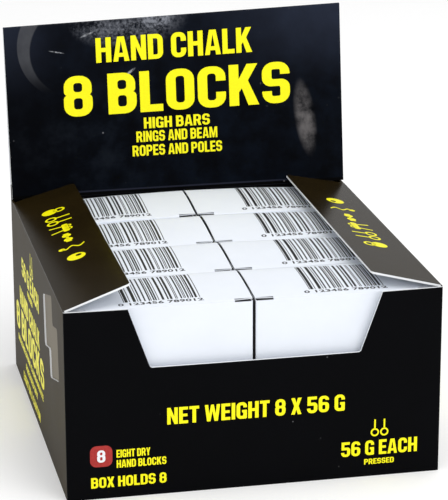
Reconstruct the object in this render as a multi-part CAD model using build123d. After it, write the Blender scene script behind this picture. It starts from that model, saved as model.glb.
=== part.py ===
from build123d import *
from math import asin, cos, hypot, radians, sin
import os

# Counter display carton for boxed blocks of hand chalk: a folded board tray with a
# window front, two side flaps and a lid folded into an upright header, holding two
# columns by four rows of tuck-end cartons, each with one pressed chalk block inside.
# Millimetres, +X to the right, +Y towards the back, +Z up.
# Origin: centre of the bounding box at the bottom, so the base lies on z = 0.

# --- display carton -----------------------------------------------------------
width = 130.0  # outside, across the front
depth = 138.0  # outside, front wall to back wall
wall_height = 67.0  # base to the top creases
board = 0.7  # display board
crease_gap = 0.45  # a folded panel starts this far from its crease line

window_top_half = 43.6
window_bottom_half = 36.2
window_depth = 21.1
window_corner = 1.2

flap_width = 24.0
flap_front_cut = 4.6  # the free edge starts this much further back than the crease
flap_front_start = 0.9
flap_rear_end = 6.4  # clear of the header's foot
flap_rear_taper = 0.8
flap_corner = 1.5
left_flap_tilt = 16.0  # the creases spring the flaps up
right_flap_tilt = 12.0

header_height = depth / 2  # the lid folded in half
header_lean = 5.5  # of its rear panel
ply_gap = 0.05  # between the two panels where they meet at the top
tongue_crease_rise = 1.0
tongue_setback = 4.35  # from the outside of the back wall to the tongue
tongue_length = 20.0
tongue_half_width = 61.0
tongue_taper = 5.0
tongue_corner = 5.0

front_ear_length = 60.0
rear_ear_length = 25.0
ear_top_gap = 1.4

# S-shaped lock in each side wall, (distance from the front, height); the lower half is
# the upper half turned about its middle
lock_outline = [
    (28.3, 63.8),
    (49.6, 57.7),
    (47.6, 39.5),
    (36.3, 42.0),
    (34.9, 31.8),
    (13.6, 37.9),
    (15.6, 56.1),
    (26.9, 53.6),
]
lock_corner = 1.4
tab_clearance = 0.45
tab_shift = 0.3  # the tab sits forward and low in its slot

# --- small cartons ------------------------------------------------------------
carton_board = 0.4
front_gap = 1.9  # the front wall stands clear of the cartons at the window
rear_gap = 4.6  # room for the tongue
row_gap = 0.3
column_gap = 0.9
side_gap = 0.4
carton_top = wall_height - 0.8  # top of the closure's creases above the base plane
crown_inner = 2.2  # how far the closure bulges at the middle of the display
crown_outer = 0.3  # and beside the side wall, under the flap
crown_place = 0.78  # crest of the bulge, as a share of the depth from the front
slit_length = 5.5
slit_width = 0.35
tuck_length = 14.0
dust_flap_length = 24.0
glue_flap_width = 12.0
glue_flap_inset = 2.0
tuck_inset = 1.5
fold_clearance = 0.1
cut_overrun = 1.0

block_edge = 1.5
block_side_gap = 0.6
block_end_gap = 0.5

# --- worked out from the above --------------------------------------------------
lean_reach = header_height * sin(radians(header_lean))
header_overhang = lean_reach + board * (cos(radians(header_lean)) - 1) / 2
front_y = -(depth + header_overhang) / 2
back_y = front_y + depth
side_x = width / 2
inside_x = side_x - board
hinge_x = side_x - board / 2
header_axis_y = back_y - board / 2
tongue_y = back_y - tongue_setback
tongue_crease_z = wall_height + tongue_crease_rise
carton_rows = ["front", "second", "third", "rear"]
carton_columns = ["left", "right"]
carton_width = inside_x - board - side_gap - column_gap / 2
carton_depth = (depth - 2 * board - front_gap - rear_gap - 3 * row_gap) / 4
carton_base = board


def slab(low, high):
    size = [b - a for a, b in zip(low, high)]
    middle = [(a + b) / 2 for a, b in zip(low, high)]
    return Pos(*middle) * Box(*size)


def plate(plane, points, thickness, corners=None, radius=0.0):
    """A flat panel cut from board: its outline in a plane, thickened about it."""
    face = make_face(Polyline(*points, close=True))
    if corners:
        picked = [v for v in face.vertices() if any(hypot(v.X - x, v.Y - y) < 0.01 for x, y in corners)]
        face = fillet(picked, radius)
    return extrude(plane * face, amount=thickness / 2, both=True)


def mirrored(shape):
    return mirror(shape, about=Plane.YZ)


def crease(start, end):
    """The rounded edge that a creased panel turns about, along its crease line."""
    low, high = Vector(*start), Vector(*end)
    plane = Plane(low, z_dir=(high - low).normalized())
    return plane * Cylinder(board / 2, (high - low).length, align=(Align.CENTER, Align.CENTER, Align.MIN))


# --- tray ----------------------------------------------------------------------
def bottom_panel():
    return slab((-inside_x, front_y + board, 0), (inside_x, back_y - board, board))


def front_wall():
    """Front panel, with the window cut down from its top edge."""
    sill = wall_height - window_depth
    sill_corners = [(window_bottom_half, sill), (-window_bottom_half, sill)]
    outline = [
        (-side_x, 0),
        (side_x, 0),
        (side_x, wall_height),
        (window_top_half, wall_height),
        *sill_corners,
        (-window_top_half, wall_height),
        (-side_x, wall_height),
    ]
    plane = Plane((0, front_y + board / 2, 0), x_dir=(1, 0, 0), z_dir=(0, -1, 0))
    return plate(plane, outline, board, sill_corners, window_corner)


def back_wall():
    wall = slab((-side_x, back_y - board, 0), (side_x, back_y, wall_height))
    return wall + crease((-side_x, header_axis_y, wall_height), (side_x, header_axis_y, wall_height))


def lock_face(clearance=0.0, shift=0.0):
    points = [(front_y + d - shift, z - shift) for d, z in lock_outline]
    face = make_face(Polyline(*points, close=True))
    face = fillet(face.vertices(), lock_corner)
    return offset(face, amount=-clearance) if clearance else face


def lock_plate(face, x, thickness):
    plane = Plane((x, 0, 0), x_dir=(0, 1, 0), z_dir=(1, 0, 0))
    return extrude(plane * face, amount=thickness / 2, both=True)


def left_wall():
    """Side panel, with the S-shaped slot that the front ear's tab locks into."""
    start, end = front_y + board, back_y - board
    wall = slab((-side_x, start, 0), (-inside_x, end, wall_height))
    wall += crease((-hinge_x, start, wall_height), (-hinge_x, end, wall_height))
    return wall - lock_plate(lock_face(), -hinge_x, 3 * board)


def left_lock_tab():
    """The front ear's tab, pushed out into the slot and lying flush in it."""
    return lock_plate(lock_face(tab_clearance, tab_shift), -hinge_x, board)


def left_ear(start, end):
    """A wall's end flap, turned in along the inside of the side wall."""
    top = wall_height - ear_top_gap
    inner = -inside_x + board
    return slab((-inside_x, start, board), (inner, end, top))


def left_front_ear():
    start = front_y + board
    return left_ear(start, start + front_ear_length)


def left_rear_ear():
    end = back_y - board
    return left_ear(end - rear_ear_length, end)


# --- flaps and header ------------------------------------------------------------
def left_flap(tilt):
    """Top side flap, creased to the side wall; its front end is cut on a slant."""
    rise = radians(tilt)
    plane = Plane(
        (-hinge_x, 0, wall_height), x_dir=(cos(rise), 0, sin(rise)), z_dir=(-sin(rise), 0, cos(rise))
    )
    free_start = front_y + flap_front_start + flap_front_cut
    free_end = back_y - flap_rear_end - flap_rear_taper
    free_corners = [(flap_width, free_start), (flap_width, free_end)]
    outline = [
        (crease_gap, front_y + flap_front_start),
        *free_corners,
        (crease_gap, back_y - flap_rear_end),
    ]
    return plate(plane, outline, board, free_corners, flap_corner)


def upright_panel(foot, head, start):
    """A full-width header panel between two (y, z) points on its middle plane."""
    run, rise = head[0] - foot[0], head[1] - foot[1]
    length = hypot(run, rise)
    plane = Plane((0, *foot), x_dir=(1, 0, 0), z_dir=(0, -rise / length, run / length))
    outline = [(-side_x, start), (side_x, start), (side_x, length), (-side_x, length)]
    return plate(plane, outline, board)


header_top = (
    header_axis_y + header_height * sin(radians(header_lean)),
    wall_height + header_height * cos(radians(header_lean)),
)


def header_rear_panel():
    """Rear half of the lid, standing up from the back wall's top crease."""
    return upright_panel((header_axis_y, wall_height), header_top, crease_gap)


def header_front_panel():
    """Front half of the lid, folded down from the top crease to the tongue crease."""
    ply = board + ply_gap
    head = (header_top[0] - ply * cos(radians(header_lean)), header_top[1] + ply * sin(radians(header_lean)))
    panel = upright_panel((tongue_y, tongue_crease_z), head, 0)
    return panel + crease((-side_x, tongue_y, tongue_crease_z), (side_x, tongue_y, tongue_crease_z))


def tuck_tongue():
    """The lid's tuck flap, pushed down between the rear cartons and the back wall."""
    plane = Plane((0, tongue_y, tongue_crease_z), x_dir=(1, 0, 0), z_dir=(0, -1, 0))
    lower_half = tongue_half_width - tongue_taper
    lower_corners = [(lower_half, -tongue_length), (-lower_half, -tongue_length)]
    outline = [
        (-tongue_half_width, -crease_gap),
        (tongue_half_width, -crease_gap),
        *lower_corners,
    ]
    return plate(plane, outline, board, lower_corners, tongue_corner)


# --- one small carton, on the left of the display, with its front at y = 0 ------------
# Its outer end is at x = 0 and its inner end at x = carton_width.
def sleeve():
    """Four upright panels and the glue flap that joins them, as creased."""
    t, w, d = carton_board, carton_width, carton_depth
    low, high = carton_base, carton_top - t - fold_clearance
    panels = [
        slab((0, 0, low), (w, t, high)),
        slab((0, d - t, low), (w, d, high)),
        slab((0, t, low), (t, d - t, high)),
        slab((w - t, t, low), (w, d - t, high)),
        slab((t, d - t - glue_flap_width, low + glue_flap_inset), (2 * t, d - t, high - glue_flap_inset)),
    ]
    return Compound(children=panels)


def crown_section(x, crown):
    """The closure's section at one end: two arcs that meet level at the crest."""
    crest = crown_place * carton_depth

    def arc(reach, side, drop):
        radius = (reach**2 + crown**2) / (2 * crown)
        turn = asin(reach / radius)
        points = [
            (crest + side * radius * sin(turn * k), carton_top + crown - radius * (1 - cos(turn * k)) - drop)
            for k in (0, 0.5, 1)
        ]
        return ThreePointArc(*points)

    upper_front = arc(crest, -1, 0)
    upper_rear = arc(carton_depth - crest, 1, 0)
    lower_front = arc(crest, -1, carton_board)
    lower_rear = arc(carton_depth - crest, 1, carton_board)
    front_end = Line(upper_front @ 1, lower_front @ 1)
    rear_end = Line(upper_rear @ 1, lower_rear @ 1)
    face = make_face([upper_front, upper_rear, lower_front, lower_rear, front_end, rear_end])
    return Plane((x, 0, 0), x_dir=(0, 1, 0), z_dir=(1, 0, 0)) * face


def top_closure():
    """Closure panel, bulged by the flaps under it, slit at both ends of its front
    crease, and the tuck that goes down behind the front panel."""
    t, w = carton_board, carton_width
    panel = loft([crown_section(0, crown_outer), crown_section(w, crown_inner)], ruled=True)
    reach = crown_inner + 2 * t
    for start, end in ((-cut_overrun, slit_length), (w - slit_length, w + cut_overrun)):
        panel -= slab((start, -cut_overrun, carton_top - reach), (end, slit_width, carton_top + reach))
    top = carton_top - t - fold_clearance
    inside = t + fold_clearance
    tuck = slab((tuck_inset, inside, top - tuck_length), (w - tuck_inset, inside + t, top))
    return Compound(children=[panel, tuck])


def bottom_closure():
    """Bottom panel and its tuck, which goes up behind the front panel."""
    t, w, d = carton_board, carton_width, carton_depth
    inside = t + fold_clearance
    panel = slab((inside, inside, carton_base), (w - inside, d - inside, carton_base + t))
    tuck_top = carton_base + tuck_length
    tuck = slab((tuck_inset, inside, carton_base + t), (w - tuck_inset, inside + t, tuck_top))
    return Compound(children=[panel, tuck])


def dust_flaps():
    """Two flaps at the top and two at the bottom, turned in from the end panels."""
    t, w, d = carton_board, carton_width, carton_depth
    near, far = 3 * t, d - t - 2 * fold_clearance
    levels = [carton_base + t + fold_clearance, carton_top - 2 * t - 2 * fold_clearance]
    flaps = []
    for z in levels:
        for start in (2 * t + fold_clearance, w - t - fold_clearance - dust_flap_length):
            flaps.append(slab((start, near, z), (start + dust_flap_length, far, z + t)))
    return Compound(children=flaps)


def chalk_block():
    """Pressed magnesium carbonate, with its edges broken."""
    t, w, d = carton_board, carton_width, carton_depth
    low = carton_base + 2 * t + 2 * fold_clearance
    high = carton_top - 2 * t - 3 * fold_clearance - block_end_gap
    block = slab(
        (2 * t + block_side_gap, 2 * t + block_side_gap, low),
        (w - 2 * t - block_side_gap, d - t - block_side_gap, high),
    )
    return chamfer(block.edges(), block_edge)


def place_carton(shape, column, row):
    """Moves a left-hand carton part to its row, and mirrors it for the right column."""
    x = -(column_gap / 2 + carton_width)
    y = front_y + board + front_gap + row * (carton_depth + row_gap)
    placed = Pos(x, y, 0) * shape
    return mirrored(placed) if column == "right" else placed


# --- the set of nodes --------------------------------------------------------------
nodes = {
    "bottom_panel": bottom_panel(),
    "front_wall": front_wall(),
    "back_wall": back_wall(),
    "left_wall": left_wall(),
    "right_wall": mirrored(left_wall()),
    "left_front_ear": left_front_ear(),
    "right_front_ear": mirrored(left_front_ear()),
    "left_rear_ear": left_rear_ear(),
    "right_rear_ear": mirrored(left_rear_ear()),
    "left_lock_tab": left_lock_tab(),
    "right_lock_tab": mirrored(left_lock_tab()),
    "left_flap": left_flap(left_flap_tilt),
    "right_flap": mirrored(left_flap(right_flap_tilt)),
    "header_rear_panel": header_rear_panel(),
    "header_front_panel": header_front_panel(),
    "tuck_tongue": tuck_tongue(),
}

carton_parts = {
    "sleeve": sleeve(),
    "top_closure": top_closure(),
    "bottom_closure": bottom_closure(),
    "dust_flaps": dust_flaps(),
    "chalk_block": chalk_block(),
}
for row, row_name in enumerate(carton_rows):
    for column in carton_columns:
        for part_name, shape in carton_parts.items():
            nodes[f"{row_name}_{column}_{part_name}"] = place_carton(shape, column, row)

os.makedirs("parts", exist_ok=True)
for name, shape in nodes.items():
    export_step(shape, f"parts/{name}.step")

whole = Compound(children=list(nodes.values())).bounding_box()
print(len(nodes), "nodes from", tuple(whole.min), "to", tuple(whole.max))
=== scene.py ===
import bmesh
import bpy
from math import atan2, cos, pi, radians, sin, sqrt, tan
from mathutils import Matrix, Vector


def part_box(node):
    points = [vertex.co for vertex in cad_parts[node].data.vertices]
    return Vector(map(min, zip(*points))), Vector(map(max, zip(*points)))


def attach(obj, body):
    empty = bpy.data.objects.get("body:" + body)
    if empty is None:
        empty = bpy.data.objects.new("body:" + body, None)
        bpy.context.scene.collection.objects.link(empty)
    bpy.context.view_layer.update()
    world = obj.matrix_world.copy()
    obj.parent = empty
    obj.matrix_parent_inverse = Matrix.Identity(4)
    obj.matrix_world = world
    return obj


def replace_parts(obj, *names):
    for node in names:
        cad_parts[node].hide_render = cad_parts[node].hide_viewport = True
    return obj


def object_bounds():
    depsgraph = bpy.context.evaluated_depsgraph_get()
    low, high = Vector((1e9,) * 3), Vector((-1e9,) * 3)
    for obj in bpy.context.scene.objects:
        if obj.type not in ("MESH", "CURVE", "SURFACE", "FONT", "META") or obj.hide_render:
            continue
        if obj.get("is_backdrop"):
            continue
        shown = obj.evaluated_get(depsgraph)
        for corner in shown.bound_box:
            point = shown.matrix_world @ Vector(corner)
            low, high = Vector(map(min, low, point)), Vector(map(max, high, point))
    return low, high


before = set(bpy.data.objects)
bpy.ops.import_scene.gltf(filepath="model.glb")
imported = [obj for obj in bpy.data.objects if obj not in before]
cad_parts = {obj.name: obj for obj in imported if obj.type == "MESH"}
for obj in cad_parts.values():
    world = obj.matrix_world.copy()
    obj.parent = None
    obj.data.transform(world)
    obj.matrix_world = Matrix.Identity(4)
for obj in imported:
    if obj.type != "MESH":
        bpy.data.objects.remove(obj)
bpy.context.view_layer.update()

# --- Front wall -------------------------------------------------------------------------
# The front of the display, die-cut from 0.7 mm board that is printed and laminated
# outside and plain white inside. A window is cut down from its top edge, and the
# cartons behind it bow it forward a little.
class Wire:
    """One output of a node tree, with the sums that the finishes use."""

    def __init__(self, tree, socket=None):
        self.tree = tree
        self.socket = socket

    def node(self, kind, settings=None, sockets=None, out=0):
        made = self.tree.nodes.new(kind)
        for key, value in (settings or {}).items():
            setattr(made, key, value)
        for key, value in (sockets or {}).items():
            if isinstance(value, Wire):
                self.tree.links.new(value.socket, made.inputs[key])
            else:
                made.inputs[key].default_value = value
        return Wire(self.tree, made.outputs[out])

    def sum(self, operation, first, second=0.0, clamp=False):
        settings = {"operation": operation, "use_clamp": clamp}
        return self.node("ShaderNodeMath", settings, {0: first, 1: second})

    def __add__(self, other):
        return self.sum("ADD", self, other)

    __radd__ = __add__

    def __sub__(self, other):
        return self.sum("SUBTRACT", self, other)

    def __rsub__(self, other):
        return self.sum("SUBTRACT", other, self)

    def __mul__(self, other):
        return self.sum("MULTIPLY", self, other)

    __rmul__ = __mul__

    def __truediv__(self, other):
        return self.sum("DIVIDE", self, other)

    def step(self, low, high):
        """0 below low and 1 above high, smooth between. low may be above high."""
        sockets = {0: self, 1: low, 2: high, 3: 0.0, 4: 1.0}
        if low > high:
            sockets.update({1: high, 2: low, 3: 1.0, 4: 0.0})
        return self.node("ShaderNodeMapRange", {"interpolation_type": "SMOOTHSTEP"}, sockets)

    def blend(self, below, above):
        """One colour where this is 0 and another where it is 1."""
        return self.node("ShaderNodeMix", {"data_type": "RGBA"}, {0: self, 6: below, 7: above}, 2)


def finish(name, roughness, specular):
    """A material with its shader's fixed values, its node tree and its place on the piece."""
    made = bpy.data.materials.new(name)
    made.use_nodes = True
    shader = made.node_tree.nodes["Principled BSDF"]
    shader.inputs["Roughness"].default_value = roughness
    shader.inputs["Specular IOR Level"].default_value = specular
    tree = Wire(made.node_tree)
    return made, shader, tree, tree.node("ShaderNodeTexCoord", out="Object")


def grain(tree, place, scale, detail=3.0, roughness=0.6):
    """Cloudy noise from 0 to 1."""
    sockets = {"Vector": place, "Scale": scale, "Detail": detail, "Roughness": roughness}
    return tree.node("ShaderNodeTexNoise", {}, sockets)


def raised(tree, height, strength, distance):
    """A normal that follows a height, for a relief too fine to model."""
    sockets = {"Strength": strength, "Distance": distance, "Height": height}
    return tree.node("ShaderNodeBump", {}, sockets)


def feed(shader, **values):
    """Links outputs to the shader's inputs, by their names with _ for each space."""
    for key, value in values.items():
        shader.id_data.links.new(value.socket, shader.inputs[key.replace("_", " ")])


def printed_board(name, ink, specular, roughness=0.42):
    """Dark print under a satin film: faint paper tooth and a few specks of chalk dust."""
    made, shader, tree, place = finish(name, roughness, specular)
    tooth = grain(tree, place, 5200, 2.0)
    mottle = grain(tree, place, 42, 4.0)
    cells = tree.node("ShaderNodeTexVoronoi", {}, {"Vector": place, "Scale": 210.0})
    specks = cells.step(0.075, 0.03) * grain(tree, place, 75).step(0.56, 0.7)
    deep = tuple(c * 0.8 for c in ink[:3]) + (1,)
    colour = specks.blend(mottle.step(0.35, 0.7).blend(deep, ink), (0.11, 0.11, 0.115, 1))
    rough = roughness - 0.05 + mottle * 0.1
    feed(shader, Base_Color=colour, Roughness=rough,
         Normal=raised(tree, tooth + mottle * 0.5, 0.25, 0.00002))
    return made


def plain_board(name, white, bump=0.3, specular=0.3):
    """Uncoated or clay-coated white board: paper fibre and slight clouding."""
    made, shader, tree, place = finish(name, 0.6, specular)
    fibre = grain(tree, place, 3600, 4.0, 0.7)
    cloud = grain(tree, place, 55, 3.0)
    shade = tuple(c * 0.955 for c in white[:3]) + (1,)
    feed(shader, Base_Color=(cloud * 0.7 + fibre * 0.3).step(0.25, 0.75).blend(shade, white),
         Roughness=0.55 + fibre * 0.15, Normal=raised(tree, fibre, bump, 0.00003))
    return made


front_print = printed_board("black print, front", (0.0011, 0.0012, 0.0019, 1), 0.035)
white_liner = plain_board("white inside of the board", (0.83, 0.85, 0.88, 1))
cut_edge = plain_board("cut edge of the board", (0.84, 0.86, 0.88, 1), 0.5)

board = 0.7
side_x = 65.0
width = 2 * side_x
front_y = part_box("front_wall")[0].y * 1000
back_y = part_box("back_wall")[1].y * 1000
wall_height = 67.0
depth = back_y - front_y


def rounded(corners, runs=6):
    """An outline from (across, up, radius) corners, each with a radius rounded off."""
    points = []
    for n, (u, v, radius) in enumerate(corners):
        here = Vector((u, v))
        before = (Vector(corners[n - 1][:2]) - here).normalized()
        after = (Vector(corners[(n + 1) % len(corners)][:2]) - here).normalized()
        if not radius:
            points.append((u, v))
            continue
        half = before.angle(after) / 2
        centre = here + (before + after).normalized() * (radius / sin(half))
        start = here + before * (radius / tan(half)) - centre
        end = here + after * (radius / tan(half)) - centre
        turn = start.angle_signed(end)
        for k in range(runs + 1):
            a = -turn * k / runs
            points.append((centre.x + start.x * cos(a) - start.y * sin(a),
                           centre.y + start.x * sin(a) + start.y * cos(a)))
    return points


def die_cut(outlines):
    """Flat faces filling the outlines, with an outline inside another left open."""
    curve = bpy.data.curves.new("cut", "CURVE")
    curve.dimensions = "2D"
    curve.fill_mode = "BOTH"
    for outline in outlines:
        line = curve.splines.new("POLY")
        line.points.add(len(outline) - 1)
        for point, (u, v) in zip(line.points, outline):
            point.co = (u, v, 0, 1)
        line.use_cyclic_u = True
    return flattened(curve)


def flattened(curve):
    """The filled faces of a flat curve or of lettering, as a bmesh."""
    stand_in = bpy.data.objects.new("cut", curve)
    bpy.context.scene.collection.objects.link(stand_in)
    bpy.context.view_layer.update()
    ready = stand_in.evaluated_get(bpy.context.evaluated_depsgraph_get())
    mesh = bpy.data.meshes.new_from_object(ready)
    shape = bmesh.new()
    shape.from_mesh(mesh)
    bpy.data.meshes.remove(mesh)
    bpy.data.objects.remove(stand_in)
    bpy.data.curves.remove(curve)
    bmesh.ops.remove_doubles(shape, verts=shape.verts, dist=1e-4)
    for face in shape.faces:
        if face.normal.z < 0:
            face.normal_flip()
    return shape


def crosscut(shape, axis, places):
    """Cuts the faces across at some places along an axis, so that they can be bent there."""
    normal = Vector((axis == 0, axis == 1, 0))
    for at in places:
        everything = shape.verts[:] + shape.edges[:] + shape.faces[:]
        bmesh.ops.bisect_plane(shape, geom=everything, dist=1e-5, plane_co=normal * at, plane_no=normal)
    return shape


def scored(shape, step):
    """Cuts the faces along a grid with the given steps across and up."""
    for axis, pitch in enumerate(step):
        if pitch:
            low = min(v.co[axis] for v in shape.verts)
            high = max(v.co[axis] for v in shape.verts)
            crosscut(shape, axis, [low + k * pitch for k in range(1, int((high - low - 1e-3) / pitch) + 1)])
    return shape


def made_up(name, shape, place, low, high, finishes, body, printed_rim=None, smooth=35):
    """Thickens flat faces from low to high and puts them in place, as one closed piece.
    The finishes are for the outside, the inside and the cut edges."""
    region = bmesh.ops.extrude_face_region(shape, geom=shape.faces[:])
    for v in shape.verts:
        v.co.z = low
    for v in (g for g in region["geom"] if isinstance(g, bmesh.types.BMVert)):
        v.co.z = high
    bmesh.ops.recalc_face_normals(shape, faces=shape.faces)
    for face in shape.faces:
        if len(finishes) > 1:
            rim = abs(face.normal.z) < 0.5
            face.material_index = 2 if rim else (0 if face.normal.z > 0 else 1)
            if rim and printed_rim and printed_rim(*face.calc_center_median().xy):
                face.material_index = 0
    for v in shape.verts:
        v.co = Vector(place(*v.co)) / 1000
    return piece(name, shape, finishes, body, smooth)


def piece(name, shape, finishes, body, smooth=35):
    """A closed shape as a named piece that rides on a body. A place that mirrors the
    shape turns its faces inwards, so they are turned back."""
    if shape.calc_volume(signed=True) < 0:
        bmesh.ops.reverse_faces(shape, faces=shape.faces)
    mesh = bpy.data.meshes.new(name)
    shape.to_mesh(mesh)
    shape.free()
    for made in finishes:
        mesh.materials.append(made)
    mesh.shade_smooth()
    mesh.set_sharp_from_angle(angle=radians(smooth))
    made = bpy.data.objects.new(name, mesh)
    bpy.context.scene.collection.objects.link(made)
    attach(made, body)
    return made


def panel_place(origin, across, up):
    """Puts a panel's (across, up, out) at its place in the display, in millimetres."""
    origin, across, up = Vector(origin), Vector(across), Vector(up)
    out = across.cross(up)
    return lambda u, v, w: origin + across * u + up * v + out * w


front_flat = panel_place((-side_x, front_y, 0), (1, 0, 0), (0, 0, 1))
front_bow = 1.3  # the most that the wall stands forward of flat
corner_radius = 0.62  # of the two upright creases


def front_place(u, v, w):
    """The front wall's place, bowed forward towards the middle of its free top edge
    and rounded at the two upright creases."""
    bow = front_bow * sin(pi * min(max(u / width, 0), 1)) ** 0.7 * (v / wall_height) ** 2
    edge = max(corner_radius - u, u - (width - corner_radius), 0) / corner_radius
    drop = corner_radius * (1 - sqrt(max(1 - edge**2, 0))) * max(0, 1 + w / board)
    return front_flat(u, v, w + bow - drop)


window_half, sill_half = 43.6, 36.2  # half its width at the top and at the sill
sill = wall_height - 21.1
window_corner = 1.2
below_window = 45  # the cut edge is left white above this, in the window
front_outline = rounded([
    (0, 0, 0), (width, 0, 0), (width, wall_height, 0), (side_x + window_half, wall_height, 0),
    (side_x + sill_half, sill, window_corner), (side_x - sill_half, sill, window_corner),
    (side_x - window_half, wall_height, 0), (0, wall_height, 0),
])
shape = scored(die_cut([front_outline]), (5, 6))
for at in (0.08, 0.2, 0.38, corner_radius):
    crosscut(shape, 0, (at, width - at))
front_wall = made_up("front_wall_board", shape, front_place, -board, 0, [front_print, white_liner, cut_edge],
                     "tray", lambda u, v: v < below_window or u < 0.01 or u > width - 0.01)
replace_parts(front_wall, "front_wall")

# --- Words on the front wall ------------------------------------------------------------
# Yellow ink printed on the board before it is laminated. Plain words say what is in
# the box and how much, with a red badge at one side and two rings at the other.
yellow_ink, ink_shader, ink_tree, ink_at = finish("yellow ink", 0.4, 0.25)
press = grain(ink_tree, ink_at, 2600, 2.0).step(0.3, 0.7)
feed(ink_shader, Base_Color=press.blend((0.93, 0.86, 0.0, 1), (1.0, 0.93, 0.0, 1)),
     Normal=raised(ink_tree, press, 0.1, 0.00001))


def plain_ink(name, roughness, specular, scale, deep, pale):
    made, shader, tree, place = finish(name, roughness, specular)
    feed(shader, Base_Color=grain(tree, place, scale).step(0.3, 0.7).blend(deep, pale))
    return made


red_ink = plain_ink("red ink", 0.4, 0.25, 900, (0.33, 0.02, 0.018, 1), (0.42, 0.03, 0.025, 1))
ink_low, ink_high = -0.02, 0.03  # the print's underside and face, from the board's face

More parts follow.
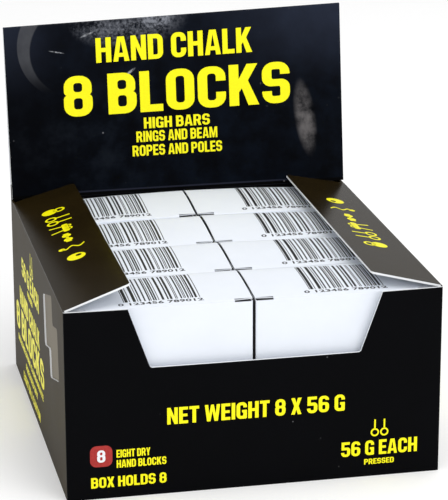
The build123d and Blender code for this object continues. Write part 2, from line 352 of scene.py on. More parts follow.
W, S, T = 0.62, 0.215, 0.175  # a letter's width, its upright strokes and its level ones
R, Q = 0.26, 0.07  # the rounding outside and inside
EYE = [(S, T, Q), (W - S, T, Q), (W - S, 0.45, Q), (S, 0.45, Q)]
TOP_EYE = [(S, 0.6, Q), (W - S, 0.6, Q), (W - S, 1 - T, Q), (S, 1 - T, Q)]
LETTERS = {
    "A": [[(0, 0, 0), (0.2, 0, 0), (0.225, 0.18, 0), (0.435, 0.18, 0), (0.46, 0, 0), (0.66, 0, 0), (0.47, 1, 0),
           (0.19, 1, 0)], [(0.25, 0.34, 0), (0.41, 0.34, 0), (0.33, 0.82, 0)]],
    "B": [[(0, 0, 0), (W, 0, R), (W, 0.5, 0.12), (W - 0.07, 0.53, 0), (W - 0.02, 0.56, 0.1), (W - 0.02, 1, R),
           (0, 1, 0)], EYE, TOP_EYE],
    "C": [[(0, 0, R), (W, 0, R), (W, 0.37, 0), (W - S, 0.37, 0), (W - S, T, Q), (S, T, Q), (S, 1 - T, Q),
           (W - S, 1 - T, Q), (W - S, 0.64, 0), (W, 0.64, 0), (W, 1, R), (0, 1, R)]],
    "D": [[(0, 0, 0), (W, 0, R), (W, 1, R), (0, 1, 0)], [(S, T, 0), (W - S, T, Q), (W - S, 1 - T, Q), (S, 1 - T, 0)]],
    "E": [[(0, 0, 0), (0.53, 0, 0), (0.53, T, 0), (S, T, 0), (S, 0.42, 0), (0.49, 0.42, 0), (0.49, 0.58, 0),
           (S, 0.58, 0), (S, 1 - T, 0), (0.53, 1 - T, 0), (0.53, 1, 0), (0, 1, 0)]],
    "G": [[(0, 0, R), (W, 0, 0.08), (W, 0.53, 0), (0.33, 0.53, 0), (0.33, 0.38, 0), (W - S, 0.38, 0), (W - S, T, Q),
           (S, T, Q), (S, 1 - T, Q), (W - S, 1 - T, Q), (W - S, 0.68, 0), (W, 0.68, 0), (W, 1, R), (0, 1, R)]],
    "H": [[(0, 0, 0), (S, 0, 0), (S, 0.42, 0), (W - S, 0.42, 0), (W - S, 0, 0), (W, 0, 0), (W, 1, 0), (W - S, 1, 0),
           (W - S, 0.59, 0), (S, 0.59, 0), (S, 1, 0), (0, 1, 0)]],
    "I": [[(0, 0, 0), (S, 0, 0), (S, 1, 0), (0, 1, 0)]],
    "K": [[(0, 0, 0), (S, 0, 0), (S, 0.32, 0), (0.28, 0.42, 0), (0.42, 0, 0), (0.66, 0, 0), (0.42, 0.6, 0),
           (0.64, 1, 0), (0.4, 1, 0), (S, 0.64, 0), (S, 1, 0), (0, 1, 0)]],
    "L": [[(0, 0, 0), (0.5, 0, 0), (0.5, T, 0), (S, T, 0), (S, 1, 0), (0, 1, 0)]],
    "M": [[(0, 0, 0), (0.19, 0, 0), (0.19, 0.66, 0), (0.34, 0, 0), (0.5, 0, 0), (0.65, 0.66, 0), (0.65, 0, 0),
           (0.84, 0, 0), (0.84, 1, 0), (0.57, 1, 0), (0.42, 0.38, 0), (0.27, 1, 0), (0, 1, 0)]],
    "N": [[(0, 0, 0), (0.2, 0, 0), (0.2, 0.56, 0), (0.42, 0, 0), (W, 0, 0), (W, 1, 0), (0.42, 1, 0), (0.42, 0.44, 0),
           (0.2, 1, 0), (0, 1, 0)]],
    "O": [[(0, 0, R), (W, 0, R), (W, 1, R), (0, 1, R)], [(S, T, Q), (W - S, T, Q), (W - S, 1 - T, Q), (S, 1 - T, Q)]],
    "P": [[(0, 0, 0), (S, 0, 0), (S, 0.38, 0), (W, 0.38, R), (W, 1, R), (0, 1, 0)],
          [(S, 0.54, 0), (W - S, 0.54, Q), (W - S, 1 - T, Q), (S, 1 - T, 0)]],
    "R": [[(0, 0, 0), (S, 0, 0), (S, 0.4, 0), (0.29, 0.4, 0), (0.42, 0, 0), (0.65, 0, 0), (0.51, 0.45, 0),
           (W, 0.5, 0.07), (W, 1, R), (0, 1, 0)], [(S, 0.56, 0), (W - S, 0.56, Q), (W - S, 1 - T, Q), (S, 1 - T, 0)]],
    "S": [[(0, 0, R), (W, 0, R), (W, 0.585, 0.2), (S, 0.585, 0.04), (S, 1 - T, 0.04), (W - S, 1 - T, 0.04),
           (W - S, 0.7, 0), (W, 0.7, 0), (W, 1, R), (0, 1, R), (0, 0.415, 0.2), (W - S, 0.415, 0.04),
           (W - S, T, 0.04), (S, T, 0.04), (S, 0.3, 0), (0, 0.3, 0)]],
    "T": [[(0.18, 0, 0), (0.395, 0, 0), (0.395, 1 - T, 0), (0.575, 1 - T, 0), (0.575, 1, 0), (0, 1, 0), (0, 1 - T, 0),
           (0.18, 1 - T, 0)]],
    "U": [[(0, 0, R), (W, 0, R), (W, 1, 0), (W - S, 1, 0), (W - S, T, Q), (S, T, Q), (S, 1, 0), (0, 1, 0)]],
    "W": [[(0.13, 0, 0), (0.33, 0, 0), (0.45, 0.6, 0), (0.57, 0, 0), (0.77, 0, 0), (0.9, 1, 0), (0.7, 1, 0),
           (0.65, 0.42, 0), (0.53, 1, 0), (0.37, 1, 0), (0.25, 0.42, 0), (0.2, 1, 0), (0, 1, 0)]],
    "X": [[(0, 0, 0), (0.22, 0, 0), (0.31, 0.3, 0), (0.4, 0, 0), (W, 0, 0), (0.44, 0.5, 0), (W, 1, 0), (0.4, 1, 0),
           (0.31, 0.7, 0), (0.22, 1, 0), (0, 1, 0), (0.18, 0.5, 0)]],
    "Y": [[(0.2, 0, 0), (0.42, 0, 0), (0.42, 0.4, 0), (W, 1, 0), (0.41, 1, 0), (0.31, 0.62, 0), (0.21, 1, 0),
           (0, 1, 0), (0.2, 0.4, 0)]],
    "5": [[(0, 0, R), (W, 0, R), (W, 0.64, 0.2), (S, 0.64, 0), (S, 1 - T, 0), (0.58, 1 - T, 0), (0.58, 1, 0),
           (0.02, 1, 0), (0.02, 0.46, 0), (W - S, 0.46, 0.04), (W - S, T, 0.04), (S, T, 0.04), (S, 0.29, 0),
           (0, 0.29, 0)]],
    "6": [[(0, 0, R), (W, 0, R), (W, 0.61, 0.2), (S, 0.61, 0), (S, 1 - T, 0.05), (W - S, 1 - T, 0.05),
           (W - S, 0.74, 0), (W, 0.74, 0), (W, 1, R), (0, 1, R)], EYE],
    "8": [[(0, 0, R), (W, 0, R), (W, 0.5, 0.12), (W - 0.06, 0.53, 0), (W - 0.01, 0.56, 0.1), (W - 0.01, 1, R),
           (0.01, 1, R), (0.01, 0.56, 0.1), (0.06, 0.53, 0), (0, 0.5, 0.12)], EYE, TOP_EYE],
}


def lettering(text, across, up):
    """Words in heavy narrow capitals, fitted to a width and a height in millimetres."""
    parts, at = [], 0.0
    word_space, letter_space = 0.26, 0.075
    for letter in text:
        if letter == " ":
            at += word_space
            continue
        outlines = LETTERS[letter]
        parts.append([[(u + at, v, r) for u, v, r in outline] for outline in outlines])
        at += max(u for u, v, r in outlines[0]) + letter_space
    stretch = (across[1] - across[0]) / (at - letter_space)
    rise = up[1] - up[0]
    return joined([die_cut([[(across[0] + u * stretch, up[0] + v * rise) for u, v in rounded(outline, 5)]
                            for outline in outlines]) for outlines in parts])


def joined(shapes):
    """Several shapes as one. The shapes are used up."""
    whole = bmesh.new()
    for shape in shapes:
        mesh = bpy.data.meshes.new("part")
        shape.to_mesh(mesh)
        shape.free()
        whole.from_mesh(mesh)
        bpy.data.meshes.remove(mesh)
    return whole


def disc(u, v, radius, runs=28):
    return [(u + radius * cos(2 * pi * k / runs), v + radius * sin(2 * pi * k / runs)) for k in range(runs)]


def bar(u0, v0, u1, v1):
    return [(u0, v0), (u1, v0), (u1, v1), (u0, v1)]


def rings_mark(u, v, size):
    """Two hanging rings on their straps."""
    parts = []
    for side in (-1, 1):
        x = u + side * size * 0.27
        parts.append(die_cut([disc(x, v + size * 0.24, size * 0.24), disc(x, v + size * 0.24, size * 0.15)]))
        parts.append(die_cut([bar(x - size * 0.045, v + size * 0.46, x + size * 0.045, v + size)]))
    return parts


front_words = joined([
    lettering("NET WEIGHT 8 X 56 G", (34.4, 96), (25.0, 31.0)),
    lettering("EIGHT DRY", (17, 28.5), (14.5, 17.3)),
    lettering("HAND BLOCKS", (17, 34), (10.8, 13.6)),
    lettering("BOX HOLDS 8", (8.2, 34), (4.0, 7.8)),
    lettering("56 G EACH", (95, 122), (7.8, 13.2)),
    lettering("PRESSED", (103.2, 113.8), (4.4, 6.4)),
    *rings_mark(108.5, 14.6, 6.2),
])
made_up("front_words", scored(front_words, (8, 8)), front_place, ink_low, ink_high, [yellow_ink], "tray")
badge = rounded([(8, 11.6, 2.2), (15.6, 11.6, 2.2), (15.6, 19.2, 2.2), (8, 19.2, 2.2)])
made_up("front_badge", die_cut([badge]), front_place, ink_low, ink_high, [red_ink], "tray")
made_up("front_badge_number", lettering("8", (10.4, 13.2), (13.2, 17.6)), front_place, ink_low, ink_high + 0.02,
        [white_liner], "tray")

# --- Floor of the tray and back wall ----------------------------------------------------
# The same sheet folded up from the bottom panel. The back wall is printed plain, and
# its top crease carries the lid.
base_print = printed_board("black print, base", (0.007, 0.007, 0.0075, 1), 0.15)
bottom_place = panel_place((-side_x + board, back_y - board, 0), (1, 0, 0), (0, -1, 0))
bottom_size = (2 * (side_x - board), depth - 2 * board)
bottom = made_up("bottom_board", die_cut([bar(0, 0, *bottom_size)]), bottom_place, -board, 0,
                 [base_print, white_liner, cut_edge], "tray")
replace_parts(bottom, "bottom_panel")

back_place = panel_place((side_x, back_y, 0), (-1, 0, 0), (0, 0, 1))
painted_shade_foot = wall_height - 2.2  # painted shade: the black print is carried inside over the back's top creases down to here, for the shade there


def with_painted_shade_inside(wall, back_only_from):
    """Paints shade inside: carries the black print over the crease, on the inside, behind a line."""
    for face in wall.data.polygons:
        if face.material_index == 1 and face.center.z * 1000 > painted_shade_foot and face.center.y * 1000 > back_only_from:
            face.material_index = 0
    return wall


shape = crosscut(die_cut([bar(0, 0, width, wall_height)]), 1, [painted_shade_foot])
back = made_up("back_wall_board", shape, back_place, -board, 0,
               [front_print, white_liner, cut_edge], "tray", lambda u, v: True)
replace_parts(with_painted_shade_inside(back, 0), "back_wall")

# --- Side walls -------------------------------------------------------------------------
# Each side wall hooks over the front ear's tab through an S-shaped slot. The tabs and
# the ears are unprinted, and the slot shows the wall's white cut edge.
# Painted sheen: the side walls' black print is made lighter and warmer brown, for the warm sheen that the light gives
# it.
side_print_painted_sheen = printed_board("black print with painted sheen, side", (0.033, 0.022, 0.006, 1), 0.06, 0.5)
# Painted shade: the lock tabs are unprinted white board, darkened here to khaki-grey for the shade deep in the slot.
tab_in_painted_shade = plain_board("unprinted lock tab in painted shade", (0.185, 0.16, 0.118, 1))
# (distance from the front, height) of the slot's corners
lock_slot = [(28.3, 63.8), (49.6, 57.7), (47.6, 39.5), (36.3, 42.0), (34.9, 31.8), (13.6, 37.9), (15.6, 56.1),
             (26.9, 53.6)]
lock_corner = 1.4
painted_shade_length = 8.0  # how far forward of the back wall the painted shade reaches inside
tab_rest = -board + 0.12  # the tab has sunk to this level in its slot


def refinish(node, made):
    """Gives a CAD piece's own mesh a finish."""
    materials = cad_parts[node].data.materials
    materials.clear()
    materials.append(made)


def side_words(mark, from_back):
    """The side wall's words. from_back turns a distance from the back into one across."""
    def line(text, near, far, low, high):
        return lettering(text, sorted((from_back(near), from_back(far))), (low, high))

    middle = from_back(56.5)
    return joined([
        *rings_mark(middle, mark, 8.5),
        line("56 G EACH", 28, 75, 45.5, 52.5),
        line("PRESSED", 43, 57, 41.8, 44.0),
        line("HAND CHALK", 20, 75, 31.6, 38.8),
        line("8 BLOCKS", 8, 85, 19.4, 30.2),
        line("MAGNESIUM CARBONATE", 12, 82, 14.8, 17.2),
        line("PRESSED DRY", 33, 66, 9.4, 12.0),
        line("EIGHT IN A CARTON", 25, 72, 3.0, 6.4),
    ])


for side in ("left", "right"):
    if side == "left":
        place = panel_place((-side_x, back_y, 0), (0, -1, 0), (0, 0, 1))
        from_back = lambda d: d
    else:
        place = panel_place((side_x, front_y, 0), (0, 1, 0), (0, 0, 1))
        from_back = lambda d: depth - d
    hole = rounded([(from_back(depth - d), v, lock_corner) for d, v in lock_slot])
    outline = bar(board, 0, depth - board, wall_height)
    shape = crosscut(crosscut(die_cut([outline, hole]), 0, [from_back(painted_shade_length)]), 1, [painted_shade_foot])
    wall = made_up(f"{side}_wall_board", shape, place, -board, 0, [side_print_painted_sheen, white_liner, cut_edge], "tray",
                   lambda u, v: u < 1 or u > depth - 1 or v < 0.1 or v > wall_height - 0.1)
    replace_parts(with_painted_shade_inside(wall, back_y - painted_shade_length), f"{side}_wall")
    made_up(f"{side}_words", side_words(53.2, from_back), place, ink_low, ink_high, [yellow_ink], "tray")
    tab = made_up(f"{side}_tab_board", die_cut([hole]), place, -board, tab_rest, [tab_in_painted_shade], "tray")
    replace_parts(tab, f"{side}_lock_tab")
    refinish(f"{side}_front_ear", white_liner)
    refinish(f"{side}_rear_ear", base_print)

# --- Small cartons ----------------------------------------------------------------------
# Eight straight tuck cartons of 0.4 mm clay-coated board, in four rows. The closure
# bulges over the flaps under it, more beside the middle, and its tuck goes down behind
# the front panel. A slit at each end of the front crease lets the tuck lock.
carton_white = plain_board("clay-coated white board", (0.80, 0.84, 0.91, 1), 0.15, 0.35)
carton_edge = plain_board("cut edge of the carton board", (0.72, 0.75, 0.8, 1), 0.4)
# Painted shade: the cartons' board is white, and this dark grey stands in for the shade in the gaps between the
# columns, under the closures and down the slits.
carton_painted_shade = plain_board("painted shade inside and between the cartons", (0.085, 0.085, 0.09, 1), 0.4)
pressed_chalk, chalk_shader, chalk_tree, chalk_at = finish("pressed chalk", 0.9, 0.2)
chalk_grain = grain(chalk_tree, chalk_at, 900, 6.0, 0.75)
feed(chalk_shader, Base_Color=chalk_grain.blend((0.78, 0.78, 0.76, 1), (0.93, 0.93, 0.92, 1)),
     Normal=raised(chalk_tree, chalk_grain, 0.8, 0.0002))

carton_board = 0.4
carton_width, carton_depth, _ = ((b - a) * 1000 for a, b in zip(*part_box("front_left_sleeve")))
carton_top = 66.2  # height of the closure's creases
slit = 6.2
shoulder = 0.4  # the closure springs up this far at the slit beside the gap
shoulder_reach = 9.0
slit_rise = 0.5  # the front panel stops this far under the crease there, and the slit gapes
crest = 0.78  # the crown is highest here, as a share of the depth from the front
fold = 0.45  # radius of the closure's creases
settle = 34  # a proud closure comes down to its place within this far of the side wall
corner_inset = 0.3
lap = 0.3  # the closure's front fold stands this far behind the front panel's face


def crown_height(v, crown):
    """How high the closure stands over its creases, by the distance from the front."""
    top = crest * carton_depth
    reach = top if v < top else carton_depth - top
    radius = (reach**2 + crown**2) / (2 * crown)
    return crown - radius + sqrt(max(radius**2 - (v - top) ** 2, 0))


def closure_place(corner, outer, inner, proud, gap_on_right):
    """The crowned closure's place. Past its front and rear creases it turns down. It lies
    low beside the side wall, and its end beside the gap springs up at the slit."""
    def place(u, v, w):
        from_gap = carton_width - u if gap_on_right else u
        crown = inner + (outer - inner) * (from_gap / carton_width) ** 1.4
        base = carton_top + proud * min(1, max(0, carton_width - from_gap) / settle) ** 1.3
        run = fold * pi / 2
        if v < fold:
            turn = min((fold - v) / run, 1) * pi / 2
            fall = max(fold - v - run, 0)
            return corner + Vector((u, fold - sin(turn) * (fold + w) + lap,
                                    base - fold + cos(turn) * (fold + w) - fall))
        if v > carton_depth - fold:
            turn = min((v - carton_depth + fold) / run, 1) * pi / 2
            return corner + Vector((u, carton_depth - fold + sin(turn) * (fold + w),
                                    base - fold + cos(turn) * (fold + w)))
        lift = crown_height((v - fold) / (carton_depth - 2 * fold) * carton_depth, crown)
        if from_gap < slit * 1.25 and v < shoulder_reach:
            fade = (1 - (v - fold) / (shoulder_reach - fold)) ** 2
            lift += shoulder * min(1, (1.25 - from_gap / slit) / 0.25) * fade
        return corner + Vector((u, v + lap * max(0, 1 - (v - fold) / 3), base + lift + w))
    return place


def closure_outline():
    """The closure panel between its two slits' creases, and the tuck in front of it."""
    w, end = carton_width, carton_depth + 0.25
    return rounded([
        (0, 0.85, 0), (slit, 0.85, 0), (slit, -2.4, 0),
        (1.6, -4.0, 0.6), (1.6, -14, 4), (w - 1.6, -14, 4), (w - 1.6, -4.0, 0.6),
        (w - slit, -2.4, 0), (w - slit, 0.85, 0), (w, 0.85, 0), (w, end, 0), (0, end, 0),
    ], 4)


def tube():
    """The carton's four walls, creased from one strip."""
    w, d, t = carton_width, carton_depth, carton_board
    return die_cut([rounded([(0, 0, 0.6), (w, 0, 0.6), (w, d, 0.6), (0, d, 0.6)], 4),
                    rounded([(t, t, 0.25), (w - t, t, 0.25), (w - t, d - t, 0.25), (t, d - t, 0.25)], 4)])


def collar():
    """The walls' upper edge: the side and rear walls, without the front panel."""
    w, d, t = carton_width, carton_depth, carton_board
    return die_cut([[(0, t), (t, t), (t, d - t), (w - t, d - t), (w - t, t), (w, t), (w, d), (0, d)]])


crowns = {  # over the outer end, over the inner end, and how proud the closure stands
    ("front", "left"): (0.3, 1.9, 0), ("front", "right"): (0.3, 1.8, 0),
    ("second", "left"): (0.4, 2.1, 0), ("second", "right"): (0.3, 2.1, 0),
    ("third", "left"): (0.4, 2.5, 0.1), ("third", "right"): (0.4, 2.7, 0.1),
    ("rear", "left"): (0.3, 2.2, 1.05), ("rear", "right"): (0.3, 2.2, 1.05),
}
closures = {}
for (row, column), (outer, inner, proud) in crowns.items():
    low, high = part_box(f"{row}_{column}_sleeve")
    corner = Vector((low.x * 1000, low.y * 1000, 0))
    facing_gap = 1 if column == "left" else -1
    stand = lambda u, v, w, corner=corner: corner + Vector((u, v, w))
    body = made_up(f"{row}_{column}_carton", tube(), stand, board, carton_top - slit_rise,
                   [carton_white, carton_edge, carton_painted_shade], "tray")
    # The walls that face the gap between the columns take the painted shade.
    for face in body.data.polygons:
        at_gap = face.normal.x * facing_gap > 0.9
        face.material_index = 1 if abs(face.normal.z) > 0.5 else (2 if at_gap else 0)
    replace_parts(body, f"{row}_{column}_sleeve")
    made_up(f"{row}_{column}_collar", collar(), stand, carton_top - slit_rise, carton_top - 0.47 + proud * 0.2,
            [carton_white], "tray")
    lip_from = corner_inset if column == "left" else slit
    lip = bar(lip_from, 0, lip_from + carton_width - slit - corner_inset, carton_board)
    made_up(f"{row}_{column}_lip", die_cut([lip]), stand, carton_top - slit_rise, carton_top - 0.06,
            [carton_white], "tray")
    place = closure_place(corner, outer, inner, proud, column == "left")
    closures[row, column] = place
    shape = scored(die_cut([closure_outline()]), (9, 1.3))
    crosscut(shape, 1, [fold - fold * pi / 2 * k / 4 for k in range(5)])
    crosscut(shape, 1, [carton_depth - fold + 0.15 * k for k in range(4)])
    lid = made_up(f"{row}_{column}_closure", shape, place, -carton_board, 0,
                  [carton_white, carton_painted_shade, carton_edge], "tray", smooth=50)
    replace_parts(lid, f"{row}_{column}_top_closure")
    # Painted shade on the bottom closure and dust flaps, seen down the slits.
    refinish(f"{row}_{column}_bottom_closure", carton_painted_shade)
    refinish(f"{row}_{column}_dust_flaps", carton_painted_shade)
    refinish(f"{row}_{column}_chalk_block", pressed_chalk)

# --- Bar codes --------------------------------------------------------------------------
# Printed in black on each closure, with a line of digits in front. The bars are made
# from a rule and the digits only count up, so they stand for no real article.
black_ink = plain_ink("black ink", 0.55, 0.2, 3000, (0.006, 0.006, 0.008, 1), (0.02, 0.02, 0.024, 1))

bars = bpy.data.node_groups.new("bar code", "GeometryNodeTree")
named = {}
for name, kind in (("Bars", "Int"), ("Width", "Float"), ("Length", "Float"), ("Bar Seed", "Int"),
                   ("Gap Seed", "Int"), ("Ink", "Material")):
    made = bars.interface.new_socket(name=name, in_out="INPUT", socket_type=f"NodeSocket{kind}")
    named[name] = made.identifier
bars.interface.new_socket(name="Geometry", in_out="OUTPUT", socket_type="NodeSocketGeometry")
tree = Wire(bars)
given = bars.nodes.new("NodeGroupInput")
ask = lambda name: Wire(bars, given.outputs[name])


def modules(seed, most, bias):
    """A whole number of modules for each bar, from 1 to most. A bias over 1 favours few."""
    chance = tree.node("FunctionNodeRandomValue", {"data_type": "FLOAT"}, {8: ask(seed)}, 1)
    return tree.sum("CEIL", tree.sum("POWER", chance, bias) * most)


bar_wide = modules("Bar Seed", 4.0, 1.3)
gap_wide = modules("Gap Seed", 4.0, 1.2)
as_float = {"data_type": "FLOAT"}
bar_and_gap = {"Value": bar_wide + gap_wide}
before = tree.node("GeometryNodeAccumulateField", as_float, bar_and_gap, "Trailing")
total = tree.node("GeometryNodeAccumulateField", as_float, bar_and_gap, "Total")
module = ask("Width") / total
middle = (before + bar_wide * 0.5) * module
points = tree.node("GeometryNodeMeshLine", {"mode": "OFFSET"}, {"Count": ask("Bars"), "Offset": (0, 0, 0)})
bar_at = tree.node("ShaderNodeCombineXYZ", {}, {"X": middle})
spread = tree.node("GeometryNodeSetPosition", {}, {"Geometry": points, "Position": bar_at})
grid = {"Size X": 1.0, "Size Y": 1.0, "Vertices X": 2, "Vertices Y": 18}
strip = tree.node("GeometryNodeMeshGrid", {}, grid)
scale = tree.node("ShaderNodeCombineXYZ", {}, {"X": bar_wide * module, "Y": ask("Length"), "Z": 1.0})
placed = tree.node("GeometryNodeInstanceOnPoints", {}, {"Points": spread, "Instance": strip, "Scale": scale})
plain = tree.node("GeometryNodeRealizeInstances", {}, {"Geometry": placed})
inked = tree.node("GeometryNodeSetMaterial", {}, {"Geometry": plain, "Material": ask("Ink")})
bars.links.new(inked.socket, bars.nodes.new("NodeGroupOutput").inputs[0])


def small_digits(text, across, up):
    """Plain thin digits, fitted to a width and a height in millimetres."""
    curve = bpy.data.curves.new("digits", "FONT")
    curve.body = text
    curve.size = 1
    curve.resolution_u = 2
    curve.offset = 0.018
    shape = flattened(curve)
    low = [min(v.co[k] for v in shape.verts) for k in (0, 1)]
    high = [max(v.co[k] for v in shape.verts) for k in (0, 1)]
    for v in shape.verts:
        v.co.x = across[0] + (v.co.x - low[0]) / (high[0] - low[0]) * (across[1] - across[0])
        v.co.y = up[0] + (v.co.y - low[1]) / (high[1] - low[1]) * (up[1] - up[0])
    return shape


bar_start, bar_end = 19.7, 46.5
bar_foot, bar_head = 5.2, 27.2
code_low, code_high = -0.01, 0.03  # the print's underside and face
holder = bpy.data.objects.new("bars", bpy.data.meshes.new("bars"))
bpy.context.scene.collection.objects.link(holder)
modifier = holder.modifiers.new("bar code", "NODES")
modifier.node_group = bars
for name, value in (("Bars", 25), ("Width", bar_end - bar_start), ("Length", bar_head - bar_foot),
                    ("Bar Seed", 23), ("Gap Seed", 8), ("Ink", black_ink)):
    modifier[named[name]] = value
bpy.context.view_layer.update()
bar_mesh = bpy.data.meshes.new_from_object(holder.evaluated_get(bpy.context.evaluated_depsgraph_get()))
bpy.data.objects.remove(holder)
for (row, column), place in closures.items():
    shape = bmesh.new()
    shape.from_mesh(bar_mesh)
    for v in shape.verts:
        v.co.x += bar_start
        v.co.y += (bar_foot + bar_head) / 2
    made_up(f"{row}_{column}_bars", shape, place, code_low, code_high, [black_ink], "tray")
    digits = small_digits("0 123456 789012", (bar_start - 2.2, bar_end), (2.3, 4.4))
    made_up(f"{row}_{column}_digits", scored(digits, (0, 1.2)), place, code_low, code_high, [black_ink],
            "tray")

# --- Side flaps -------------------------------------------------------------------------
# Creased to the side walls and sprung up a little, printed on top with a row of six
# small marks of gym apparatus. Their cut edges show white.
# Painted sheen: the flaps' black print is made lighter and warmer brown, for the light that they catch.
flap_print_painted_sheen = printed_board("black print with painted sheen, flaps", (0.017, 0.011, 0.003, 1), 0.07, 0.25)
hinge_x = side_x - board / 2
flap_width = 24.0
flap_start, flap_end = 0.9, 6.4  # its crease, from the front wall and from the back wall
edge_start, edge_end = 5.5, 7.2  # and its free edge
flap_corner = 1.5
mark_pitch = 11.3


def solid(*outlines):
    """A flat mark, with the second outline left open in the first."""
    return die_cut(list(outlines))


def dumbbell(u, v):
    """Two round heads with an outer plate each, on a thin handle."""
    parts = [solid(bar(u - 1.6, v + 4.3, u + 1.6, v + 5.3))]
    for side in (-1, 1):
        parts.append(solid(disc(u + side * 2.3, v + 4.8, 1.7)))
        parts.append(solid(bar(u + side * 4.3 - 0.35, v + 3.7, u + side * 4.3 + 0.35, v + 5.9)))
    return parts


def kettlebell(u, v):
    """A round weight under a ring handle."""
    return [solid(disc(u, v + 3.0, 3.0)), solid(disc(u, v + 6.6, 2.3), disc(u, v + 6.6, 1.4))]


def pommel_horse(u, v):
    """A long body with two handles, on two splayed legs."""
    parts = [solid(rounded([(u - 4.2, v + 4.6, 0.9), (u + 4.2, v + 4.6, 0.9), (u + 4.2, v + 7.0, 0.9),
                            (u - 4.2, v + 7.0, 0.9)]))]
    for side in (-1, 1):
        parts.append(solid(disc(u + side * 1.5, v + 7.0, 1.3), disc(u + side * 1.5, v + 7.0, 0.7)))
        foot, hip = u + side * 3.2, u + side * 2.2
        parts.append(solid([(foot - 0.4, v), (foot + 0.4, v), (hip + 0.4, v + 4.8), (hip - 0.4, v + 4.8)]))
    return parts


def rope(u, v):
    """A climbing rope that hangs in a wave, with a knot at its foot."""
    side = [(u + 1.1 * sin(k * 0.55), v + 1.0 + k * 0.45) for k in range(20)]
    wave = [(x - 0.5, y) for x, y in side] + [(x + 0.5, y) for x, y in reversed(side)]
    return [solid(wave), solid(disc(u, v + 1.0, 1.2))]


def ball(u, v):
    """A ball with a crescent of light left out of it."""
    return [solid(disc(u, v + 4.6, 3.4), disc(u - 1.0, v + 5.6, 1.1))]


def rings(u, v):
    return rings_mark(u, v, 9.5)


def marks(first, low):
    """The six marks in a row."""
    parts = []
    for n, mark in enumerate((kettlebell, rings, pommel_horse, dumbbell, rope, ball)):
        parts += mark(first + n * mark_pitch, low)
    return joined(parts)


def bead(start, end, radius):
    """The rounded edge that the board turns about at a crease."""
    shape = bmesh.new()
    span = Vector(end) - Vector(start)
    turn = span.to_track_quat("Z", "Y").to_matrix().to_4x4()
    middle = Matrix.Translation((Vector(start) + Vector(end)) / 2)
    bmesh.ops.create_cone(shape, cap_ends=True, segments=20, radius1=radius, radius2=radius, depth=span.length,
                          matrix=middle @ turn)
    for v in shape.verts:
        v.co /= 1000
    return shape


def with_bead(made, start, end, highlight_finish=None):
    """Adds the crease's rounded edge to a board piece, in its outside finish or in a finish of its own, such as a
    painted highlight.
    """
    shape = bmesh.new()
    shape.from_mesh(made.data)
    rounded_edge = bead(start, end, board / 2)
    if highlight_finish:
        made.data.materials.append(highlight_finish)
        for face in rounded_edge.faces:
            face.material_index = len(made.data.materials) - 1
    whole = joined([shape, rounded_edge])
    whole.to_mesh(made.data)
    whole.free()
    made.data.shade_smooth()
    made.data.set_sharp_from_angle(angle=radians(35))


for side, tilt, first in (("left", 16.0, 49.0), ("right", 12.0, 43.0)):
    rise = radians(tilt)
    if side == "left":
        up = Vector((cos(rise), 0, sin(rise)))
        out = Vector((-sin(rise), 0, cos(rise)))
        origin = Vector((-hinge_x, back_y, wall_height)) + out * board / 2
        place = panel_place(origin, (0, -1, 0), up)
        across = lambda d: depth - d
    else:
        up = Vector((-cos(rise), 0, sin(rise)))
        out = Vector((sin(rise), 0, cos(rise)))
        origin = Vector((hinge_x, front_y, wall_height)) + out * board / 2
        place = panel_place(origin, (0, 1, 0), up)
        across = lambda d: d
    outline = [(across(flap_start), 0, 0), (across(edge_start), flap_width, flap_corner),
               (across(depth - edge_end), flap_width, flap_corner), (across(depth - flap_end), 0, 0)]
    flap = made_up(f"{side}_flap_board", scored(die_cut([rounded(outline)]), (9, 4)), place, -board, 0,
                   [flap_print_painted_sheen, white_liner, cut_edge], f"{side}_flap", lambda u, v: v < 0.01)
    x = -hinge_x if side == "left" else hinge_x
    with_bead(flap, (x, front_y + flap_start, wall_height), (x, back_y - flap_end, wall_height))
    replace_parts(flap, f"{side}_flap")
    start = across(first + 5 * mark_pitch) if side == "left" else first
    made_up(f"{side}_flap_marks", marks(start, 7.5), place, ink_low, ink_high, [yellow_ink], f"{side}_flap")

# --- Header -----------------------------------------------------------------------------
# The lid folded in half and stood up: one strip of board goes up from the back wall,
# over a tight fold and down again, and its tuck flap goes behind the rear cartons.
# The front half's print is dark blue-black with a haze of chalk dust.
header_print, header_shader, tree, place_at = finish("header print with chalk haze", 0.45, 0.032)
parted = tree.tree.nodes.new("ShaderNodeSeparateXYZ")
tree.tree.links.new(place_at.socket, parted.inputs[0])
# millimetres from the header's left edge and from the back wall's crease
along = (Wire(tree.tree, parted.outputs["X"]) + 0.065) * 1000
height = (Wire(tree.tree, parted.outputs["Z"]) - 0.067) * 1000


def spot(u, v, wide, tall, slant=0.0):
    """1 at a point of the header, falling to 0 at an ellipse around it."""
    right, up = along - u, height - v
    across = (right * cos(slant) + up * sin(slant)) / wide
    above = (up * cos(slant) - right * sin(slant)) / tall
    return (across * across + above * above).step(1.0, 0.1)


smoke = grain(tree, place_at, 95, 6.0, 0.65)
dust = grain(tree, place_at, 900, 4.0, 0.7)
puff = (smoke * 0.5 + dust * 0.5).step(0.42, 0.66)
cloud = spot(46, 68, 26, 13) * puff + spot(58, 67, 7, 5) * puff
outer = (along - 24) * (along - 24) + (height - 58) * (height - 58)
inner = (along - 25.5) * (along - 25.5) + (height - 56) * (height - 56)
arc = outer.step(404, 390) * inner.step(268, 290) * height.step(40, 56) * along.step(20, 14)
streak = spot(115.5, 26, 4.6, 16, 0.12) * smoke.step(0.36, 0.66)
low_haze = spot(30, 22, 40, 26) * smoke.step(0.45, 0.75)
top_glow = height.step(34, 70) * (along.step(70, 125) * 0.75 + along.step(22, 0) * 0.6 + 0.12)
flecks = spot(31, 62, 3.2, 0.5, 0.35) + spot(19, 56, 3.4, 0.3, -0.2) + spot(47, 47, 3.0, 0.6, 0.6)
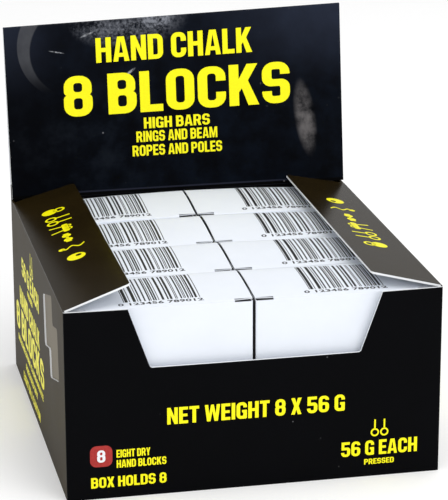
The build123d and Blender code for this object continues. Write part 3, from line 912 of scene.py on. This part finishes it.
cells = tree.node("ShaderNodeTexVoronoi", {}, {"Vector": place_at, "Scale": 190.0})
specks = cells.step(0.09, 0.03) * smoke.step(0.5, 0.62)
deep = smoke.step(0.3, 0.75) * (along.step(0, 40) * 0.75 + 0.25)
colour = deep.blend((0.0003, 0.0006, 0.0016, 1), (0.0022, 0.0042, 0.0088, 1))
colour = (low_haze * 0.35).blend(colour, (0.011, 0.0135, 0.017, 1))
colour = (top_glow * (smoke * 0.5 + 0.6)).blend(colour, (0.021, 0.027, 0.046, 1))
# a painted highlight: a lighter line just over the tongue's crease, where the crease catches the light, and black
# under it
crease_highlight = height.step(2.0, 2.3) * height.step(3.0, 2.6) * along.step(8, 20) * along.step(122, 105)
colour = (crease_highlight * 0.8).blend(colour, (0.02, 0.022, 0.036, 1))
colour = height.step(2.4, 2.0).blend(colour, (0.0003, 0.0003, 0.0006, 1))
colour = (arc * (0.2 + smoke * 0.8)).blend(colour, (0.085, 0.087, 0.095, 1))
colour = tree.sum("MINIMUM", cloud * 0.8, 1.0).blend(colour, (0.2, 0.21, 0.24, 1))
colour = (streak * 0.8).blend(colour, (0.15, 0.14, 0.14, 1))
colour = (flecks * dust.step(0.3, 0.6)).blend(colour, (0.3, 0.31, 0.33, 1))
colour = specks.blend(colour, (0.19, 0.19, 0.2, 1))
feed(header_shader, Base_Color=colour, Normal=raised(tree, grain(tree, place_at, 5200, 2.0), 0.25, 0.00002))
# Painted highlight: the tongue's crease bead is printed lighter, for the light that the crease catches.
crease_highlight_print = printed_board("painted highlight on the tongue's crease", (0.022, 0.026, 0.038, 1), 0.2)

hinge_y = back_y - board / 2
crease_y, crease_z = back_y - 4.35, wall_height + 1.0  # the tongue's crease
lean = radians(5.5)  # of the rear half
fold_radius = 0.375  # of the top fold, to the middle of the board
top_reach = 69.0 - fold_radius - board / 2
rear_top = Vector((hinge_y + top_reach * sin(lean), wall_height + top_reach * cos(lean)))
front_top = rear_top + Vector((-2 * fold_radius * cos(lean), 2 * fold_radius * sin(lean)))
front_reach = (front_top - Vector((crease_y, crease_z))).length
front_lean = atan2(front_top.x - crease_y, front_top.y - crease_z)
arc_length = pi * fold_radius
header_length = top_reach + arc_length + front_reach
twist = 3.2  # the strip is turned this far at its top corners
skew = 0.036  # and folded off square, so that its left edge is this share shorter
flare = 0.014  # and this share wider at the top
inside_painted_shade = 7  # painted shade: the print is carried this far up inside both halves, for the shade at the header's foot


def header_place(u, v, w):
    """The header strip's place, by the distance along it from the back wall's crease."""
    half = w + board / 2
    turned_by = twist * (u - side_x) / side_x * min(v, header_length - v) / top_reach
    if v < top_reach:
        y, z = hinge_y + v * sin(lean) + half * cos(lean), wall_height + v * cos(lean) - half * sin(lean)
    elif v < top_reach + arc_length:
        turn = pi * (v - top_reach) / arc_length
        out = Vector((cos(lean) * cos(turn) + sin(lean) * sin(turn),
                      -sin(lean) * cos(turn) + cos(lean) * sin(turn)))
        y, z = (rear_top + front_top) / 2 + out * (fold_radius + half)
    else:
        left = header_length - v
        y = crease_y + left * sin(front_lean) - half * cos(front_lean)
        z = crease_z + left * cos(front_lean) + half * sin(front_lean)
    rise = z - wall_height
    return Vector(((u - side_x) * (1 + flare * rise / top_reach), y + turned_by,
                   wall_height + rise * (1 - skew * (1 - u / width))))


shape = scored(die_cut([bar(0, 0, width, header_length)]), (13, 6))
crosscut(shape, 1, [top_reach + arc_length * k / 8 for k in range(9)])
header = made_up("header_board", shape, header_place, -board, 0, [header_print, white_liner, cut_edge], "header",
                 lambda u, v: v < 0.01 or v > header_length - 0.01)
header.data.materials.append(front_print)
# The inner faces near the foot take the outside print, as painted shade.
for face in header.data.polygons:
    if face.material_index == 1 and face.center.z * 1000 < wall_height + inside_painted_shade:
        face.material_index = 0
    elif face.material_index == 0 and face.normal.y > 0.2:
        face.material_index = 3  # the haze is printed on the front half alone
with_bead(header, (-side_x, hinge_y, wall_height), (side_x, hinge_y, wall_height))
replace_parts(header, "header_rear_panel", "header_front_panel")

header_words_place = lambda u, v, w: header_place(u, header_length - v, w)
header_words = joined([
    lettering("HAND CHALK", (34.5, 95), (52.0, 61.7)),
    lettering("8 BLOCKS", (21.5, 109.5), (31.5, 47.5)),
    lettering("HIGH BARS", (51.8, 77.5), (25.0, 29.3)),
    lettering("RINGS AND BEAM", (48.7, 80.3), (19.8, 24.0)),
    lettering("ROPES AND POLES", (47, 82), (14.3, 18.5)),
])
made_up("header_words", header_words, header_words_place, ink_low, ink_high, [yellow_ink], "header")

tongue_half, tongue_length, tongue_taper = 61, 20, 5
tongue_place = panel_place((-tongue_half, crease_y - board / 2, crease_z - tongue_length), (1, 0, 0), (0, 0, 1))
tongue_outline = rounded([
    (tongue_taper, 0, 5), (2 * tongue_half - tongue_taper, 0, 5),
    (2 * tongue_half, tongue_length, 0), (0, tongue_length, 0),
])
tongue = made_up("tuck_tongue_board", die_cut([tongue_outline]), tongue_place, -board, 0,
                 [header_print, white_liner, cut_edge], "tongue",
                 lambda u, v: v > tongue_length - 0.01)
with_bead(tongue, (-tongue_half, crease_y, crease_z), (tongue_half, crease_y, crease_z), crease_highlight_print)
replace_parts(tongue, "tuck_tongue")

# --- Table, light and camera ------------------------------------------------------------
# The display stands on a plain pale table under broad soft light, and the camera looks
# down at its window from a little to the left.
table_made, table_shader, tree, place_at = finish("pale table", 0.75, 0.2)
table_shader.inputs["Emission Color"].default_value = (1, 1, 1, 1)
table_shader.inputs["Emission Strength"].default_value = 0.12
feed(table_shader, Base_Color=grain(tree, place_at, 8).blend((0.93, 0.93, 0.93, 1), (0.95, 0.95, 0.95, 1)))
shape = bmesh.new()
bmesh.ops.create_grid(shape, x_segments=2, y_segments=2, size=4)
mesh = bpy.data.meshes.new("table")
shape.to_mesh(mesh)
shape.free()
mesh.materials.append(table_made)
table = bpy.data.objects.new("table", mesh)
bpy.context.scene.collection.objects.link(table)
table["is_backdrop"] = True

world = bpy.data.worlds.new("studio")
bpy.context.scene.world = world
world.use_nodes = True
world.node_tree.nodes["Background"].inputs["Color"].default_value = (1, 1, 1, 1)
world.node_tree.nodes["Background"].inputs["Strength"].default_value = 0.66


def softbox(name, at, size, power):
    """A square light of a size in metres and a power in watts, turned to the display."""
    light = bpy.data.lights.new(name, "AREA")
    light.size = size
    light.energy = power
    made = bpy.data.objects.new(name, light)
    made.location = at
    made.rotation_euler = (Vector((0, 0, 0.05)) - Vector(at)).to_track_quat("-Z", "Y").to_euler()
    bpy.context.scene.collection.objects.link(made)


softbox("overhead softbox", (0.15, -0.25, 1.5), 1.2, 10)
softbox("front softbox", (0.7, -1.2, 0.9), 0.9, 5)
softbox("low front softbox", (-0.35, -1.3, 0.3), 0.8, 1.8)

eye = Vector((-0.1647, -0.8007, 0.3183))
yaw, pitch, roll = radians(11.92), radians(17.39), radians(-0.13)
ahead = Vector((sin(yaw) * cos(pitch), cos(yaw) * cos(pitch), -sin(pitch)))
right = Vector((cos(yaw), -sin(yaw), 0))
above = right.cross(ahead)
turned = cos(roll) * right + sin(roll) * above
camera_data = bpy.data.cameras.new("camera")
camera_data.lens = 170.1
camera_data.sensor_width = 36
camera = bpy.data.objects.new("camera", camera_data)
facing = Matrix((turned, turned.cross(ahead), -ahead)).transposed().to_4x4()
camera.matrix_world = Matrix.Translation(eye) @ facing
bpy.context.scene.collection.objects.link(camera)
bpy.context.scene.camera = camera
bpy.context.scene.view_settings.view_transform = "Standard"

low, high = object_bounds()
